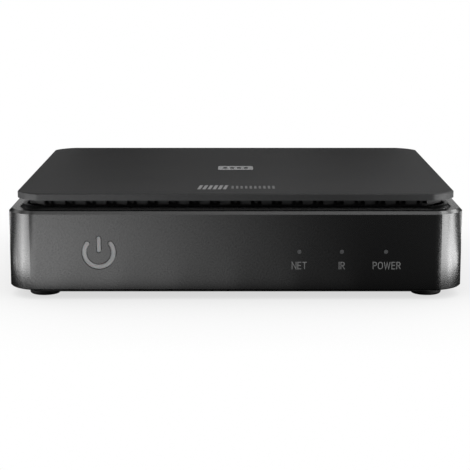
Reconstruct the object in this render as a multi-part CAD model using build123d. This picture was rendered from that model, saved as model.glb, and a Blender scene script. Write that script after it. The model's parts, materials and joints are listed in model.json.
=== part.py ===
"""Streaming media player: a low set-top box, built as the pieces it comes apart into.

Units are millimetres.  The origin is on the surface the feet stand on, under the middle of the
box.  +X is to the right seen from the front, +Y is towards the back, +Z is up.
"""

from build123d import *
from math import cos, radians, sin
import os

# ---- driving dimensions -------------------------------------------------------------------
WIDTH = 150.0
DEPTH = 126.0
HEIGHT = 34.8
CORNER_CUT = 9.8          # how far the soft corner reaches along each side
CREASE_RADIUS = 6.0       # arc at each end of a corner, then one larger arc between them
WALL = 2.2

# heights of the main layers
BASE_Z = 2.5              # underside of the bottom plate
SHELL_Z = 3.1             # lower edge of the shell
BASE_TOP = 4.5
LUG_Z = 6.2               # where base pads meet the shell's lugs
LUG_TOP = 8.2
BOARD_Z = 8.0
BOARD_TOP = 9.6
FLANGE_Z = 27.04          # underside of the shell's top flange
RIM_Z = 29.24
RIM_CHAMFER = 0.94
LIP_Z = 30.24
COMB_Z = 30.6             # lower ends of the vent teeth
BAFFLE_Z = 28.4           # lower edge of the inner skirt
COVER_Z = 32.46
COVER_SKIN = 1.5

# insets of the layers from the outermost outline
COVER_INSET = 2.8
RIM_INSET = 3.4
LIP_INSET = 4.5
OPENING_INSET = 5.6
COMB_INSET = 6.6
COMB_THICK = 1.0
COMB_BACK = 0.8
BAFFLE_INSET = 8.9        # an inner skirt that hides the inside and lets air pass below it
BAFFLE_THICK = 1.1
BASE_FLANGE_INSET = 1.0
BASE_FLANGE_CUT = 12.0
BASE_INSET = WALL + 0.15

# vent comb under the cover
COMB_PITCH = 6.8
COMB_GAP = 3.4
COMB_RIB = 0.9
COMB_FRONT_STEPS = 9
COMB_SIDE_STEPS = 7

# feet and case screws
FOOT_X = 63.7
FOOT_Y = 51.8
FOOT_R = 5.1
FOOT_RECESS = 0.6
BOSS_X = 62.0
BOSS_Y = 38.0
BOSS_R = 3.2

# front: faces of the wall and the control board behind it
FRONT = -DEPTH / 2
FRONT_IN = FRONT + WALL
FRONT_BOARD_Y = -53.0
FRONT_BOARD_THICK = 1.2
KEY_X = -44.7
KEY_Z = 15.7
KEY_RING_R = 4.78
KEY_STROKE = 1.4
KEY_GAP_ANGLE = 53.0      # each end of the open ring, from the top
KEY_BAR_TOP = 5.3
KEY_SLOT_CLEAR = 0.12
KEY_RECESS = 0.5
KEY_DISC_R = 7.2
KEY_TRAVEL = 0.3
PLUNGER_Y = -57.5         # front end of the key switch's plunger
PLUNGER_BACK_Y = -55.3
KEY_BACK_Y = PLUNGER_Y - 0.05
LED_XS = (20.8, 34.7, 49.1)
LED_Z = 16.0
LED_R = 0.65
PROUD = 0.05              # how far indicator pins and badge stand out of their faces
FRONT_BOSS_XS = (-26.0, 8.0)
RIBBON_X = -9.0
RIBBON_TOP_Z = 14.5
RIBBON_LOW_Z = 10.75

# main board
BOARD_HALF_X = 56.0
BOARD_FRONT_Y = -46.0
BOARD_BACK_Y = 58.5
BOARD_SCREWS = [(-51.0, -41.0), (51.0, -41.0), (-51.0, 36.0), (51.0, 36.0)]
MAIN_SOCKET_Y = -38.0
SOC_X, SOC_Y = -6.0, 4.0
SINK_PINS = [(SOC_X - 19.5, SOC_Y - 12.0), (SOC_X + 19.5, SOC_Y + 12.0)]
WIFI_X, WIFI_Y = -38.0, -22.0

# rear: connectors stand on the main board and look out through the rear panel
BACK = DEPTH / 2
BACK_IN = BACK - WALL
PANEL_Y = BACK_IN - 1.2
PANEL_CLEAR = 0.15
WINDOW_X = 57.0
WINDOW_Z = (6.2, 25.8)
PORT_Y = 61.8             # front faces of the connectors
DC_X, DC_Z = 46.0, 16.1
DC_SOCKET_Y = 52.3        # inner end of the power socket
DC_ROOT_R = 0.6           # the thin root that anchors the centre contact
RESET_X, RESET_Z = 36.5, 11.6
NET_X = 25.0
NET_CAVITY_Y = 45.8
VIDEO_X, VIDEO_Z = 6.0, BOARD_TOP + 2.8
USB_XS = (-11.5, -27.0)
USB_Z = BOARD_TOP + 2.9
AV_X, AV_Z = -39.0, 12.8
OPTICAL_X = -49.5
OPTICAL_TOP = BOARD_TOP + 10.6
SHUTTER_Y, SHUTTER_Z = 60.1, 18.1

# lid inlay and underside label
BADGE_Y = 0.5
BADGE_BARS = 4            # plain engraved bars across the badge
BADGE_BAR = (1.5, 4.2)
BADGE_BAR_PITCH = 2.55
BADGE_BAR_DEPTH = 0.15
LABEL_Y = 24.0

EPS = 0.5                 # extra reach of a cutting tool


# ---- helpers ------------------------------------------------------------------------------
def block(x0, x1, y0, y1, z0, z1):
    """A box between two corners."""
    middle = Pos((x0 + x1) / 2, (y0 + y1) / 2, (z0 + z1) / 2)
    return middle * Box(x1 - x0, y1 - y0, z1 - z0)


def centred(x, y, z0, width, depth, height):
    """A box standing on height z0, centred on x and y."""
    return block(x - width / 2, x + width / 2, y - depth / 2, y + depth / 2, z0, z0 + height)


def rod_z(x, y, z0, z1, radius):
    """An upright cylinder."""
    return Pos(x, y, (z0 + z1) / 2) * Cylinder(radius, z1 - z0)


def rod_y(x, z, y0, y1, radius):
    """A cylinder that runs front to back."""
    return Pos(x, (y0 + y1) / 2, z) * Rot(90, 0, 0) * Cylinder(radius, y1 - y0)


def rod_x(y, z, x0, x1, radius):
    """A cylinder that runs side to side."""
    return Pos((x0 + x1) / 2, y, z) * Rot(0, 90, 0) * Cylinder(radius, x1 - x0)


def corner_outline(inset, cut=None):
    """Outline of the box, moved inwards by inset, with its soft three-arc corners."""
    half_x = WIDTH / 2 - inset
    half_y = DEPTH / 2 - inset
    reach = cut if cut else CORNER_CUT - inset * (2 - 2 ** 0.5)
    small = max(CREASE_RADIUS - inset, 0.6)
    # a 20, 50, 20 degree turn: reach = small * a + large * (1 - a)
    share = 1 - sin(radians(70)) + cos(radians(70))
    large = (reach - share * small) / (1 - share)
    start = (half_x - reach, -half_y)
    lines = []
    at, heading = Vector(*start), 0.0
    for run in (2 * (half_y - reach), 2 * (half_x - reach)) * 2:
        for radius, turn in ((small, 20), (large, 50), (small, 20)):
            direction = (cos(radians(heading)), sin(radians(heading)))
            arc = JernArc(at, direction, radius, turn)
            lines.append(arc)
            at, heading = arc @ 1, heading + turn
        direction = Vector(cos(radians(heading)), sin(radians(heading)))
        end = at + direction * run
        lines.append(Line(at, end))
        at = end
    return make_face(lines)


def prism(inset, z0, z1, cut=None):
    """The box's outline, moved inwards, as an upright block from z0 to z1."""
    return Pos(0, 0, z0) * extrude(corner_outline(inset, cut), z1 - z0)


def ring_prism(outer_inset, inner_inset, z0, z1):
    """A wall that follows the box's outline."""
    return prism(outer_inset, z0, z1) - prism(inner_inset, z0 - EPS, z1 + EPS)


def chamfer_at(solid, z, length):
    """Chamfers every edge that lies flat at height z."""
    edges = [e for e in solid.edges() if all(abs(v.Z - z) < 1e-4 for v in e.vertices())]
    return chamfer(edges, length)


def front_plane(x, z):
    """A sketch plane on the front, x to the right and z up, whose extrusion runs backwards."""
    return Plane(origin=(x, 0, z), x_dir=(1, 0, 0), z_dir=(0, -1, 0))


def power_symbol(grow):
    """The open ring and its bar, as flat faces, each grown by the same margin."""
    half = KEY_STROKE / 2 + grow
    ring = Circle(KEY_RING_R + half) - Circle(KEY_RING_R - half)
    far = 4 * KEY_RING_R
    spread = far * sin(radians(KEY_GAP_ANGLE))
    rise = far * cos(radians(KEY_GAP_ANGLE))
    ring -= make_face(Polyline((0, 0), (spread, rise), (0, far), (-spread, rise), close=True))
    for side in (-1, 1):
        end_x = side * KEY_RING_R * sin(radians(KEY_GAP_ANGLE))
        end_y = KEY_RING_R * cos(radians(KEY_GAP_ANGLE))
        ring += Pos(end_x, end_y) * Circle(half)
    bar_half = half - 0.08
    bar_low, bar_high = bar_half - grow, KEY_BAR_TOP - KEY_STROKE / 2
    bar = Pos(0, (bar_low + bar_high) / 2) * Rectangle(2 * bar_half, bar_high - bar_low)
    bar += Pos(0, bar_low) * Circle(bar_half)
    bar += Pos(0, bar_high) * Circle(bar_half)
    return ring, bar


def front_prisms(faces, x, z, y0, y1):
    """Flat faces drawn on the front, as solids that run from y0 back to y1."""
    bodies = []
    for face in faces:
        solid = extrude(front_plane(x, z) * face, y1 - y0, dir=(0, 1, 0))
        bodies.append(Pos(0, y0, 0) * solid)
    return bodies


# ---- casing -------------------------------------------------------------------------------
def make_shell():
    """The glossy wrap: four walls, a top flange with a raised lip, lugs and front bosses."""
    body = prism(0, SHELL_Z, RIM_Z)
    body = chamfer_at(body, RIM_Z, RIM_CHAMFER)
    body = chamfer_at(body, SHELL_Z, 0.4)
    lip_low = Pos(0, 0, RIM_Z) * corner_outline(RIM_INSET)
    lip_high = Pos(0, 0, LIP_Z) * corner_outline(LIP_INSET)
    body += loft([lip_low, lip_high], ruled=True)
    body -= prism(WALL, SHELL_Z - EPS, FLANGE_Z)
    body -= prism(OPENING_INSET, FLANGE_Z - EPS, LIP_Z + EPS)
    for side in (-1, 1):
        for end in (-1, 1):
            inner_x, outer_x = BOSS_X - 3.6, WIDTH / 2 - WALL + 0.1
            lug_x = sorted((side * inner_x, side * outer_x))
            y = end * BOSS_Y
            body += block(lug_x[0], lug_x[1], y - 4.5, y + 4.5, LUG_Z, LUG_TOP)
            body -= rod_z(side * BOSS_X, y, LUG_Z - EPS, LUG_TOP + EPS, 1.5)
    for x in FRONT_BOSS_XS:
        body += rod_y(x, KEY_Z, FRONT_IN - 0.2, FRONT_BOARD_Y, 2.6)
        body -= rod_y(x, KEY_Z, FRONT_BOARD_Y - 6.5, FRONT_BOARD_Y + EPS, 0.95)
    for slot in front_prisms(power_symbol(KEY_SLOT_CLEAR), KEY_X, KEY_Z, FRONT - 1, FRONT_IN + 1):
        body -= slot
    for x in LED_XS:
        body -= rod_y(x, LED_Z, FRONT - 1, FRONT_IN + 1, LED_R + 0.05)
    body -= block(-WINDOW_X, WINDOW_X, BACK_IN - 1, BACK + 1, *WINDOW_Z)
    return body


def make_bottom_plate():
    """The base: a thin flange under the shell, screw pads, board posts and cooling slots."""
    plate = prism(BASE_FLANGE_INSET, BASE_Z, SHELL_Z, cut=BASE_FLANGE_CUT)
    plate = chamfer_at(plate, BASE_Z, 0.25)
    plate += prism(BASE_INSET, SHELL_Z, BASE_TOP)
    for side in (-1, 1):
        for end in (-1, 1):
            plate += rod_z(side * BOSS_X, end * BOSS_Y, BASE_TOP - 0.1, LUG_Z, 4.5)
            plate -= rod_z(side * BOSS_X, end * BOSS_Y, BASE_Z - EPS, LUG_Z + EPS, 1.4)
            plate -= rod_z(side * BOSS_X, end * BOSS_Y, BASE_Z - EPS, 4.4, 2.9)
            plate -= rod_z(side * FOOT_X, end * FOOT_Y, BASE_Z - EPS, BASE_Z + FOOT_RECESS,
                           FOOT_R + 0.1)
    for x, y in BOARD_SCREWS:
        plate += rod_z(x, y, BASE_TOP - 0.1, BOARD_Z, 3.0)
        plate -= rod_z(x, y, BASE_TOP + 0.3, BOARD_Z + EPS, 1.05)
    for step in range(-6, 7):
        slot = SlotOverall(28.0, 1.8, rotation=90)
        plate -= Pos(step * COMB_PITCH, -20.0, BASE_Z - EPS) * extrude(slot, 3.0)
    for end in (-1, 1):
        for step in range(-3, 4):
            slot = SlotOverall(10.0, 1.8)
            spot = Pos(end * 49.0, step * 4.2, BASE_Z - EPS)
            plate -= spot * extrude(slot, 3.0)
    return plate


def make_top_cover():
    """The matt lid: a hollow plate with a vent comb, an inner skirt and four screw bosses."""
    cover = prism(COVER_INSET, COVER_Z, HEIGHT)
    cover = chamfer_at(cover, HEIGHT, 0.35)
    cover -= prism(COMB_INSET + COMB_THICK + COMB_BACK, COVER_Z - EPS, HEIGHT - COVER_SKIN)
    front_comb = ring_prism(COMB_INSET, COMB_INSET + COMB_THICK, COMB_Z, COVER_Z + 0.1)
    back_comb = ring_prism(COMB_INSET + COMB_THICK - 0.05,
                           COMB_INSET + COMB_THICK + COMB_BACK, COMB_Z, COVER_Z + 0.1)
    low, high = COMB_Z - EPS, COVER_Z
    edge_x = WIDTH / 2 - COMB_INSET
    edge_y = DEPTH / 2 - COMB_INSET
    slit = (COMB_GAP - COMB_RIB) / 2
    slit_at = (COMB_RIB + slit) / 2
    outer_cuts, inner_cuts = [], []
    for step in range(-COMB_FRONT_STEPS, COMB_FRONT_STEPS + 1):
        x = step * COMB_PITCH
        for end in (-1, 1):
            outer_cuts.append(centred(x, end * edge_y, low, COMB_GAP, 4.4, high - low))
            for side in (-1, 1):
                inner_cuts.append(centred(x + side * slit_at, end * edge_y, low,
                                          slit, 4.4, high - low))
    for step in range(-COMB_SIDE_STEPS, COMB_SIDE_STEPS + 1):
        y = step * COMB_PITCH
        for end in (-1, 1):
            outer_cuts.append(centred(end * edge_x, y, low, 4.4, COMB_GAP, high - low))
            for side in (-1, 1):
                inner_cuts.append(centred(end * edge_x, y + side * slit_at, low,
                                          4.4, slit, high - low))
    cover += front_comb.cut(*outer_cuts) + back_comb.cut(*inner_cuts)
    cover += ring_prism(BAFFLE_INSET, BAFFLE_INSET + BAFFLE_THICK, BAFFLE_Z,
                        HEIGHT - COVER_SKIN + 0.1)
    for side in (-1, 1):
        for end in (-1, 1):
            cover += rod_z(side * BOSS_X, end * BOSS_Y, LUG_TOP, HEIGHT - COVER_SKIN + 0.1, BOSS_R)
            cover -= rod_z(side * BOSS_X, end * BOSS_Y, LUG_TOP - EPS, 18.0, 1.2)
    cover -= Pos(0, BADGE_Y, HEIGHT - 0.5) * extrude(badge_face(0.1), 1.0)
    return cover


def badge_face(grow):
    """Flat outline of the badge on the lid."""
    return RectangleRounded(12.9 + 2 * grow, 10.0 + 2 * grow, 1.2 + grow)


def make_top_badge():
    """A small inlaid metal plate, just proud of the lid, with a row of plain engraved bars."""
    plate = Pos(0, BADGE_Y, HEIGHT - 0.5) * extrude(badge_face(0), 0.5 + PROUD)
    plate = chamfer_at(plate, HEIGHT + PROUD, 0.12)
    for step in range(BADGE_BARS):
        x = (step - (BADGE_BARS - 1) / 2) * BADGE_BAR_PITCH
        plate -= centred(x, BADGE_Y, HEIGHT + PROUD - BADGE_BAR_DEPTH, *BADGE_BAR, 1.0)
    return plate


def make_rear_panel():
    """The plate behind the shell's rear window, cut out for each connector."""
    panel = block(-60, 60, PANEL_Y, BACK_IN, 4.6, 26.8)
    c = PANEL_CLEAR
    for x0, x1, z0, z1 in port_windows():
        panel -= block(x0 - c, x1 + c, PANEL_Y - 1, BACK_IN + 1, z0 - c, z1 + c)
    panel -= rod_y(AV_X, AV_Z, PANEL_Y - 1, BACK_IN + 1, 3.0 + c)
    panel -= rod_y(RESET_X, RESET_Z, PANEL_Y - 1, BACK_IN + 1, 0.9)
    for step in range(12):
        x = -4.4 * step + 8.0
        slot = SlotOverall(4.4, 1.5, rotation=90)
        panel -= front_prisms([slot], x, 22.0, PANEL_Y - 1, BACK_IN + 1)[0]
    return panel


def port_windows():
    """Outer front rectangles of the square-sided connectors: x from, x to, z from, z to."""
    windows = [
        (DC_X - 4.5, DC_X + 4.5, BOARD_TOP, BOARD_TOP + 11.2),
        (NET_X - 7.95, NET_X + 7.95, BOARD_TOP, BOARD_TOP + 13.4),
        (VIDEO_X - 7.5, VIDEO_X + 7.5, BOARD_TOP, BOARD_TOP + 5.6),
        (OPTICAL_X - 4.85, OPTICAL_X + 4.85, BOARD_TOP, OPTICAL_TOP),
    ]
    for x in USB_XS:
        windows.append((x - 6.55, x + 6.55, BOARD_TOP, BOARD_TOP + 5.8))
    return windows


def make_foot(x, y):
    """A rubber foot with a rounded lower edge, glued into its recess."""
    foot = rod_z(x, y, 0, BASE_Z + FOOT_RECESS, FOOT_R)
    lower = [e for e in foot.edges() if abs(e.center().Z) < 1e-4]
    return fillet(lower, 0.8)


def make_case_screws():
    """Four screws that clamp base, shell lugs and cover bosses together."""
    screws = []
    for side in (-1, 1):
        for end in (-1, 1):
            screws.append(pan_screw(side * BOSS_X, end * BOSS_Y, 4.4, 15.5, 1.15, 2.6, 1.4, True))
    return screws


def pan_screw(x, y, seat_z, tip_z, shank, head, head_height, upward):
    """An upright cross-recess screw: its head is below the seat when it points upward."""
    head_z = (seat_z - head_height, seat_z) if upward else (seat_z, seat_z + head_height)
    face_z = head_z[0] if upward else head_z[1]
    body = rod_z(x, y, head_z[0], head_z[1], head)
    rim = [e for e in body.edges() if abs(e.center().Z - face_z) < 1e-4]
    body = fillet(rim, 0.5)
    body += rod_z(x, y, min(seat_z, tip_z), max(seat_z, tip_z), shank)
    for across in ((2.2, 0.5), (0.5, 2.2)):
        body -= centred(x, y, face_z - 0.6, across[0], across[1], 1.2)
    return body


def make_rating_label():
    """A blank label on the underside."""
    outline = RectangleRounded(54.0, 30.0, 2.0)
    return Pos(0, LABEL_Y, BASE_Z - 0.15) * extrude(outline, 0.15)


# ---- front controls -----------------------------------------------------------------------
def make_power_key():
    """The lit key: a disc behind the wall whose raised symbol fills the symbol's slots."""
    key = rod_y(KEY_X, KEY_Z, FRONT_IN + 0.05, FRONT_IN + 1.35, KEY_DISC_R)
    for island in front_prisms(power_symbol(0), KEY_X, KEY_Z, FRONT + KEY_RECESS, FRONT_IN + 0.2):
        key += island
    key += rod_y(KEY_X, KEY_Z, FRONT_IN + 1.3, KEY_BACK_Y, 1.6)
    return key


def make_key_retainer():
    """A ring behind the wall that guides the key's disc and stops it from falling inwards."""
    ring = rod_y(KEY_X, KEY_Z, FRONT_IN, -57.8, 8.6)
    ring -= rod_y(KEY_X, KEY_Z, FRONT_IN - 1, -58.5, KEY_DISC_R + 0.08)
    ring -= rod_y(KEY_X, KEY_Z, -59, -57, 5.0)
    return ring


def make_front_board():
    """The upright circuit board that carries the key switch, the lights and the receiver."""
    board = block(-54, 54, FRONT_BOARD_Y, FRONT_BOARD_Y + FRONT_BOARD_THICK, 6.4, 25.6)
    for x in FRONT_BOSS_XS:
        board -= rod_y(x, KEY_Z, FRONT_BOARD_Y - 1, FRONT_BOARD_Y + 2.2, 1.1)
    return board


def make_front_board_screws():
    """Two screws from behind into the shell's front bosses."""
    seat = FRONT_BOARD_Y + FRONT_BOARD_THICK
    screws = []
    for x in FRONT_BOSS_XS:
        body = rod_y(x, KEY_Z, seat, seat + 1.2, 2.0)
        body += rod_y(x, KEY_Z, FRONT_BOARD_Y - 6.0, seat, 0.9)
        body -= block(x - 0.9, x + 0.9, seat + 0.7, seat + 2, KEY_Z - 0.2, KEY_Z + 0.2)
        body -= block(x - 0.2, x + 0.2, seat + 0.7, seat + 2, KEY_Z - 0.9, KEY_Z + 0.9)
        screws.append(body)
    return screws


def make_tact_switch_body():
    """The push switch behind the key, with a round well for its plunger."""
    body = block(KEY_X - 3, KEY_X + 3, -56.4, FRONT_BOARD_Y, KEY_Z - 3, KEY_Z + 3)
    return body - rod_y(KEY_X, KEY_Z, -57, PLUNGER_BACK_Y + KEY_TRAVEL + 0.1, 1.8)


def make_tact_switch_plunger():
    """The plunger that the key pushes."""
    return rod_y(KEY_X, KEY_Z, PLUNGER_Y, PLUNGER_BACK_Y, 1.75)


def make_light_guide():
    """One clear moulding: a bar behind the wall, three pins to the face, two back to the lights."""
    guide = block(LED_XS[0] - 2.8, LED_XS[2] + 2.8, FRONT_IN, FRONT_IN + 1.6,
                  LED_Z - 1.4, LED_Z + 1.4)
    for x in LED_XS:
        guide += rod_y(x, LED_Z, FRONT - PROUD, FRONT_IN + 0.2, LED_R)
    for x in (LED_XS[0], LED_XS[2]):
        guide += rod_y(x, LED_Z, FRONT_IN + 1.5, FRONT_BOARD_Y - 1.2, 1.0)
    return guide


def make_status_leds():
    """Surface-mount lights: two behind the guide, two that light the key."""
    spots = [(LED_XS[0], LED_Z), (LED_XS[2], LED_Z), (KEY_X - 5.2, KEY_Z), (KEY_X + 5.2, KEY_Z)]
    leds = []
    for x, z in spots:
        leds.append(block(x - 1.0, x + 1.0, FRONT_BOARD_Y - 0.8, FRONT_BOARD_Y, z - 0.6, z + 0.6))
    return leds


def make_ir_receiver():
    """The remote-control receiver: a small block with a domed window."""
    x = LED_XS[1]
    body = block(x - 2.6, x + 2.6, -56.6, FRONT_BOARD_Y, LED_Z - 3.0, LED_Z + 2.6)
    return body + Pos(x, -56.6, LED_Z) * Sphere(1.9)


def make_ribbon_cable():
    """The flat cable between the two boards, bent down in one soft step."""
    path = FilletPolyline((-50.9, RIBBON_TOP_Z), (-46.9, RIBBON_TOP_Z),
                          (-44.6, RIBBON_LOW_Z), (MAIN_SOCKET_Y + 0.5, RIBBON_LOW_Z), radius=1.2)
    profile = trace(path, 0.3)
    plane = Plane(origin=(RIBBON_X - 6.0, 0, 0), x_dir=(0, 1, 0), z_dir=(1, 0, 0))
    return extrude(plane * profile, 12.0, dir=(1, 0, 0))


def make_front_ribbon_socket():
    """The flat-cable socket on the front board's back face."""
    back = FRONT_BOARD_Y + FRONT_BOARD_THICK
    body = block(RIBBON_X - 7.5, RIBBON_X + 7.5, back, back + 2.5, 12.4, 16.6)
    return body - block(RIBBON_X - 6.1, RIBBON_X + 6.1, back + 0.8, back + 3, RIBBON_TOP_Z - 0.2,
                        RIBBON_TOP_Z + 0.2)


def make_main_ribbon_socket():
    """The flat-cable socket on the main board."""
    body = centred(RIBBON_X, MAIN_SOCKET_Y, BOARD_TOP, 15.0, 4.0, 2.2)
    return body - block(RIBBON_X - 6.1, RIBBON_X + 6.1, MAIN_SOCKET_Y - 3, MAIN_SOCKET_Y + 0.7,
                        RIBBON_LOW_Z - 0.2, RIBBON_LOW_Z + 0.2)


# ---- main board ---------------------------------------------------------------------------
def make_main_board():
    """The main circuit board, screwed to the base's posts."""
    board = block(-BOARD_HALF_X, BOARD_HALF_X, BOARD_FRONT_Y, BOARD_BACK_Y, BOARD_Z, BOARD_TOP)
    for x, y in BOARD_SCREWS:
        board -= rod_z(x, y, BOARD_Z - 1, BOARD_TOP + 1, 1.4)
    for x, y in SINK_PINS:
        board -= rod_z(x, y, BOARD_Z - 1, BOARD_TOP + 1, 1.6)
    return board


def make_main_board_screws():
    """Four screws into the base's posts."""
    return [pan_screw(x, y, BOARD_TOP, 5.2, 1.0, 2.3, 1.4, False) for x, y in BOARD_SCREWS]


def make_soc_chip():
    """The main processor."""
    return centred(SOC_X, SOC_Y, BOARD_TOP, 21.0, 21.0, 1.6)


def make_thermal_pad():
    """The soft pad between the processor and its heat sink."""
    return centred(SOC_X, SOC_Y, BOARD_TOP + 1.6, 20.0, 20.0, 0.8)


def make_heat_sink():
    """The finned heat sink, with an ear at two corners."""
    low = BOARD_TOP + 2.4
    sink = centred(SOC_X, SOC_Y, low, 32.0, 32.0, 2.0)
    for index, (x, y) in enumerate(SINK_PINS):
        side = -1 if index == 0 else 1
        ear_x = sorted((SOC_X + side * 15.0, x))
        sink += block(ear_x[0], ear_x[1], y - 3.2, y + 3.2, low, low + 2.0)
        sink += rod_z(x, y, low, low + 2.0, 3.2)
    for step in range(-4, 5):
        sink += centred(SOC_X + step * 3.8, SOC_Y, low + 1.9, 1.1, 32.0, 8.1)
    for x, y in SINK_PINS:
        sink -= rod_z(x, y, low - EPS, low + 3.0, 1.6)
    return sink


def make_heat_sink_pins():
    """Two push pins that hold the heat sink to the board."""
    top = BOARD_TOP + 4.4
    pins = []
    for x, y in SINK_PINS:
        pin = rod_z(x, y, 6.4, top + 0.1, 1.4)
        pin += rod_z(x, y, top, top + 1.6, 2.4)
        pin += rod_z(x, y, 6.4, 7.6, 1.9)
        pins.append(pin)
    return pins


def make_memory_chips():
    """Two memory chips beside the processor."""
    return [centred(24.0, y, BOARD_TOP, 9.0, 13.5, 1.1) for y in (-14.0, 3.0)]


def make_flash_chip():
    """The storage chip."""
    return centred(-34.0, 14.0, BOARD_TOP, 12.0, 18.4, 1.1)


def make_power_inductors():
    """Three square shielded coils of the power supply."""
    spots = [(45.0, 20.0), (45.0, 10.5), (45.0, 1.0)]
    return [rounded_block(x, y, BOARD_TOP, 6.8, 6.8, 3.2, 1.4) for x, y in spots]


def rounded_block(x, y, z0, width, depth, height, radius):
    """An upright block with rounded corners."""
    return Pos(x, y, z0) * extrude(RectangleRounded(width, depth, radius), height)


def make_capacitors():
    """Five upright can capacitors."""
    spots = [(36.0, 20.0), (36.0, 12.0), (36.0, 4.0), (48.0, 30.0), (8.0, 34.0)]
    cans = []
    for x, y in spots:
        can = rod_z(x, y, BOARD_TOP, BOARD_TOP + 6.6, 2.9)
        rim = [e for e in can.edges() if e.center().Z > BOARD_TOP + 6]
        cans.append(fillet(rim, 0.4))
    return cans


def make_crystal_cans():
    """Two timing crystals."""
    spots = [(-12.0, -20.0), (14.0, 24.0)]
    return [rounded_block(x, y, BOARD_TOP, 10.6, 4.4, 3.2, 2.1) for x, y in spots]


def make_ethernet_transformer():
    """The isolating transformer of the network port."""
    return centred(25.0, 32.0, BOARD_TOP, 15.0, 9.0, 6.0)


def make_wifi_board():
    """The wireless module's own small board."""
    return centred(WIFI_X + 2.0, WIFI_Y, BOARD_TOP, 24.0, 18.0, 0.8)


def make_wifi_shield():
    """The module's hollow metal lid."""
    low = BOARD_TOP + 0.8
    lid = centred(WIFI_X, WIFI_Y, low, 17.0, 14.0, 1.9)
    return lid - centred(WIFI_X, WIFI_Y, low - EPS, 16.6, 13.6, 2.2)


def make_wifi_antenna():
    """A stamped sheet-metal antenna: two legs and a raised strip with a folded top."""
    left, front, sheet, top = -45.0, -36.0, 0.4, BOARD_TOP + 6.4
    strip = block(left, left + 20.0, front, front + sheet, top - 2.4, top)
    for leg_x, leg_width in ((left, 1.6), (left + 5.5, 1.2)):
        strip += block(leg_x, leg_x + leg_width, front, front + sheet, BOARD_TOP, top - 2.0)
    strip += block(left, left + 20.0, front, front + 2.4, top - sheet, top)
    return strip


# ---- rear connectors ----------------------------------------------------------------------
def make_dc_jack_body():
    """The power inlet: a moulded block with a round socket."""
    body = block(DC_X - 4.5, DC_X + 4.5, 47.8, PORT_Y, BOARD_TOP, BOARD_TOP + 11.2)
    body -= rod_y(DC_X, DC_Z, DC_SOCKET_Y, PORT_Y + EPS, 3.15)
    return body - rod_y(DC_X, DC_Z, 49.8, 53.0, DC_ROOT_R + 0.04)


def make_dc_jack_pin():
    """The inlet's centre contact."""
    pin = rod_y(DC_X, DC_Z, DC_SOCKET_Y, 61.2, 1.0)
    tip = [e for e in pin.edges() if e.center().Y > 61]
    return fillet(tip, 0.4) + rod_y(DC_X, DC_Z, 49.9, DC_SOCKET_Y + 0.1, DC_ROOT_R)


def make_network_jack_shell():
    """The network socket's metal-clad housing, with the plug's stepped opening."""
    top = BOARD_TOP + 13.4
    body = block(NET_X - 7.95, NET_X + 7.95, 40.8, PORT_Y, BOARD_TOP, top)
    body -= block(NET_X - 5.9, NET_X + 5.9, NET_CAVITY_Y, PORT_Y + EPS, 12.3, 20.4)
    body -= block(NET_X - 3.1, NET_X + 3.1, NET_CAVITY_Y + 2, PORT_Y + EPS, 10.9, 12.4)
    return body


def make_network_jack_insert():
    """The dark block at the socket's inner end that carries its contacts."""
    return block(NET_X - 5.85, NET_X + 5.85, NET_CAVITY_Y, NET_CAVITY_Y + 2.8, 12.35, 20.35)


def make_network_jack_contacts():
    """Eight contact wires under the socket's roof."""
    wires = []
    for step in range(8):
        x = NET_X + (step - 3.5) * 1.02
        wires.append(block(x - 0.18, x + 0.18, NET_CAVITY_Y + 2.8, 59.0, 19.4, 19.76))
    return wires


def video_outline(inset):
    """The video socket's outline: a flat box with both lower corners cut off."""
    half, high, low, cut = 7.5 - inset, 2.8 - inset, -2.8 + inset, 2.1 - 0.4 * inset
    points = [(-half, high), (half, high), (half, low + cut), (half - cut, low),
              (-half + cut, low), (-half, low + cut)]
    return make_face(Polyline(*points, close=True))


def make_video_jack_shell():
    """The video socket's folded metal shell, closed at the back."""
    outer = front_prisms([video_outline(0)], VIDEO_X, VIDEO_Z, 50.3, PORT_Y)[0]
    return outer - front_prisms([video_outline(0.4)], VIDEO_X, VIDEO_Z, 50.7, PORT_Y + 1)[0]


def make_video_jack_tongue():
    """The video socket's insulating block and its contact tongue."""
    base = front_prisms([video_outline(0.45)], VIDEO_X, VIDEO_Z, 50.75, 53.0)[0]
    return base + block(VIDEO_X - 5.8, VIDEO_X + 5.8, 52.9, 60.4, VIDEO_Z + 0.1, VIDEO_Z + 1.3)


def make_usb_shell(x):
    """A USB socket's folded metal shell, closed at the back."""
    outer = block(x - 6.55, x + 6.55, 47.8, PORT_Y, USB_Z - 2.9, USB_Z + 2.9)
    return outer - block(x - 6.25, x + 6.25, 48.1, PORT_Y + 1, USB_Z - 2.6, USB_Z + 2.6)


def make_usb_tongue(x):
    """A USB socket's insulating block and its contact tongue."""
    base = block(x - 6.2, x + 6.2, 48.15, 51.0, USB_Z - 2.55, USB_Z + 2.55)
    return base + block(x - 5.55, x + 5.55, 50.9, 60.6, USB_Z + 0.25, USB_Z + 2.1)


def make_av_jack():
    """The round audio-video socket: a block with a collar and a through socket."""
    body = block(AV_X - 3.2, AV_X + 3.2, 46.6, PANEL_Y, BOARD_TOP, BOARD_TOP + 6.4)
    body += rod_y(AV_X, AV_Z, PANEL_Y - 0.2, PORT_Y, 3.0)
    return body - rod_y(AV_X, AV_Z, 47.8, PORT_Y + EPS, 1.85)


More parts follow.
